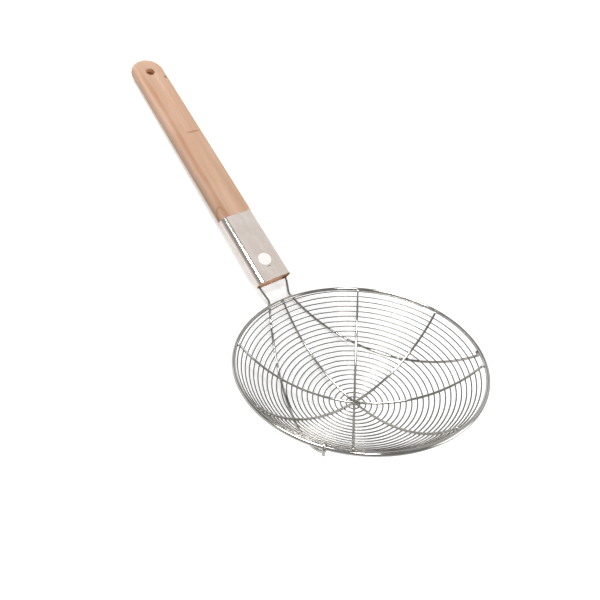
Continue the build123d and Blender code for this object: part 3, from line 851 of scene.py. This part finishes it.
centre = add(weld_beads, "ShaderNodeCombineXYZ", {"Z": centre_height.outputs[0]})
outward = add(weld_beads, "ShaderNodeVectorMath", {0: centre.outputs[0], 1: spot.outputs[0]},
              operation="SUBTRACT")
outward = add(weld_beads, "ShaderNodeVectorMath", {0: outward.outputs[0]}, operation="NORMALIZE")
inset = add(weld_beads, "ShaderNodeVectorMath", {0: outward.outputs[0], "Scale": given["Inset"]},
            operation="SCALE")
contact = add(weld_beads, "ShaderNodeVectorMath", {0: spot.outputs[0], 1: inset.outputs[0]},
              operation="ADD")
crossings = add(weld_beads, "GeometryNodeSetPosition", {
    "Geometry": point_line.outputs[0], "Position": contact.outputs[0]})
bead = add(weld_beads, "GeometryNodeMeshIcoSphere", {"Radius": given["Bead"], "Subdivisions": bead_splits})
beads = add(weld_beads, "GeometryNodeInstanceOnPoints", {
    "Points": crossings.outputs[0], "Instance": bead.outputs["Mesh"]})
hub = add(weld_beads, "GeometryNodeMeshIcoSphere", {"Radius": given["Hub"], "Subdivisions": hub_splits})
hub_place = add(weld_beads, "ShaderNodeCombineXYZ", {"Z": given["Hub Height"]})
hub_scale = add(weld_beads, "ShaderNodeCombineXYZ", {"X": 1.0, "Y": 1.0, "Z": given["Hub Share"]})
hub = add(weld_beads, "GeometryNodeTransform", {
    "Geometry": hub.outputs["Mesh"], "Translation": hub_place.outputs[0], "Scale": hub_scale.outputs[0]})
joined = add(weld_beads, "GeometryNodeJoinGeometry")
weld_beads.links.new(beads.outputs[0], joined.inputs[0])
weld_beads.links.new(hub.outputs[0], joined.inputs[0])
real = add(weld_beads, "GeometryNodeRealizeInstances", {"Geometry": joined.outputs[0]})
smooth = add(weld_beads, "GeometryNodeSetShadeSmooth", {"Geometry": real.outputs[0]})
coated = add(weld_beads, "GeometryNodeSetMaterial",
             {"Geometry": smooth.outputs[0], "Material": given["Finish"]})
add(weld_beads, "NodeGroupOutput", {"Geometry": coated.outputs[0]})

welds = path_object("spot_welds", [polar(0, 0, 0)])
give(welds, weld_beads, {
    **dome_sizes, "Ribs": rib_count, "First": first_crossing, "Crossings": mesh_turns * rib_count,
    "Inset": mesh_wire / 2, "Bead": bead_radius, "Hub": hub_radius,
    "Hub Height": sphere_height - rib_sphere, "Hub Share": hub_thickness / hub_radius,
    "Finish": polished_wire})
onto_bowl(welds, [], polished_wire)

# Carrier wires: two long stainless wires that hold the bowl on the handle. Each is gripped between
# wood and sleeve and passes under the rim and the mesh. At the far rim the left one hooks over it
# with a short tail, and the right one stops short of its top, welded to its inside.
rim_spacing = 25.3 * mm
carrier_bow = 4.5 * mm
carrier_lead = 3.0 * mm
carrier_bend = 1.8 * mm
hook_azimuth = 124.1
hook_bend = 2.0 * mm
hook_depth = 2.3 * mm
hook_tail = 3.7 * mm
carrier_in_sleeve = 55.0 * mm
arc_points = 64
bend_points = 8
hook_points = 20
carrier_sides = 10
carrier_sphere = mesh_sphere + (mesh_wire + carrier_wire) / 2
carrier_wrap = (rim_wire + carrier_wire) / 2


def inward(azimuth):
    # From the rim's centre line to the centre of the sphere
    return polar(azimuth, -rim_radius, sphere_height).normalized()


def downward(azimuth):
    # From the rim's centre line down along the sphere
    return polar(azimuth, -sphere_height, -rim_radius).normalized()


to_bowl = bowl_place.inverted()
groove_mouth = mouth + handle_across * carrier_offset - handle_up * carrier_drop
sleeve_line = to_bowl @ groove_mouth
inner_end = to_bowl @ (groove_mouth + handle_along * carrier_in_sleeve)
sleeve_along = (inner_end - sleeve_line).normalized()
crossing_azimuth = degrees(atan2(rim_spacing / 2, rim_radius))
crossing = polar(crossing_azimuth, rim_radius, 0) - inward(crossing_azimuth) * carrier_wrap
hook_corner = polar(hook_azimuth, rim_radius, 0) + downward(hook_azimuth) * carrier_wrap
hook_corner -= inward(hook_azimuth) * hook_depth
half_way = (crossing + hook_corner) / 2
half_radius = hypot(half_way.x, half_way.y) + carrier_bow
half_way = polar(degrees(atan2(half_way.y, half_way.x)), half_radius,
                 sphere_height - sqrt(carrier_sphere**2 - half_radius**2))

# Centre, radius and axis of the arc under the bowl, from its three points
side_one = crossing - hook_corner
side_two = half_way - hook_corner
arc_cross = side_one.cross(side_two)
arc_lean = side_two * side_one.dot(side_one) - side_one * side_two.dot(side_two)
arc_centre = hook_corner + arc_lean.cross(arc_cross) / (2 * arc_cross.dot(arc_cross))
arc_radius = (crossing - arc_centre).length
arc_first = (crossing - arc_centre).normalized()
arc_second = arc_cross.normalized().cross(arc_first)
if arc_second.dot(half_way - arc_centre) < 0:
    arc_second = -arc_second
arc_span = atan2(arc_second.dot(hook_corner - arc_centre), arc_first.dot(hook_corner - arc_centre))


def arc_point(angle):
    return arc_centre + (arc_first * cos(angle) + arc_second * sin(angle)) * arc_radius


def arc_heading(angle):
    return arc_second * cos(angle) - arc_first * sin(angle)


def bend(before, corner, after):
    # A small bend between two points, round the corner where their directions meet
    points = []
    for step in range(bend_points + 1):
        share = step / bend_points
        points.append(before * (1 - share)**2 + corner * 2 * share * (1 - share) + after * share**2)
    return points


arc_from = -carrier_lead / arc_radius
arc_to = arc_span - hook_bend / arc_radius
rim_corner = arc_point(arc_from) - arc_heading(arc_from) * carrier_bend
hook_turn = arc_point(arc_to) + arc_heading(arc_to) * hook_bend
turn_azimuth = degrees(atan2(hook_turn.y, hook_turn.x))
turn_rim = polar(turn_azimuth, rim_radius, 0)
turn_in = inward(turn_azimuth)
turn_out = polar(turn_azimuth, 1, 0)
hook_radius = (hook_turn - turn_rim).dot(downward(turn_azimuth))
mouth_corner = sleeve_line - sleeve_along * carrier_bend
to_rim = (rim_corner - mouth_corner).normalized()
route = [inner_end]
route += bend(mouth_corner + sleeve_along * carrier_bend, mouth_corner,
              mouth_corner + to_rim * carrier_bend)
route += bend(rim_corner - to_rim * carrier_bend, rim_corner, arc_point(arc_from))
for step in range(1, arc_points):
    route.append(arc_point(arc_from + (arc_to - arc_from) * step / arc_points))
route += bend(arc_point(arc_to), hook_turn, hook_turn + turn_in * hook_bend)
hook_from = atan2(turn_in.z, -sqrt(1 - turn_in.z**2)) + pi / 2


def over_rim(end_turn, pressing):
    # The wire's turn round the rim, from under it up its inside and, for the hook, over its top. A
    # weld at the end presses it toward the rim.
    points = []
    for step in range(hook_points + 1):
        share = step / hook_points
        angle = hook_from * (1 - share) + end_turn * share
        reach = hook_radius - pressing * share
        points.append(turn_rim + turn_out * reach * cos(angle) + Vector((0, 0, reach * sin(angle))))
    return points


hook_end = turn_rim + turn_out * hook_radius - Vector((0, 0, hook_tail))
endings = {"left": over_rim(0, 0) + [hook_end],
           "right": over_rim(radians(rim_end_angle), weld_pressing)}

for name, side in (("left", 1), ("right", -1)):
    points = [Vector((point.x, side * point.y, point.z)) for point in route + endings[name]]
    carrier = path_object(f"carrier_wire_{name}_round", points)
    give(carrier, round_wire, {
        "Diameter": carrier_wire, "Sides": carrier_sides, "Finish": polished_wire})
    onto_bowl(carrier, [f"carrier_wire_{name}"], polished_wire)
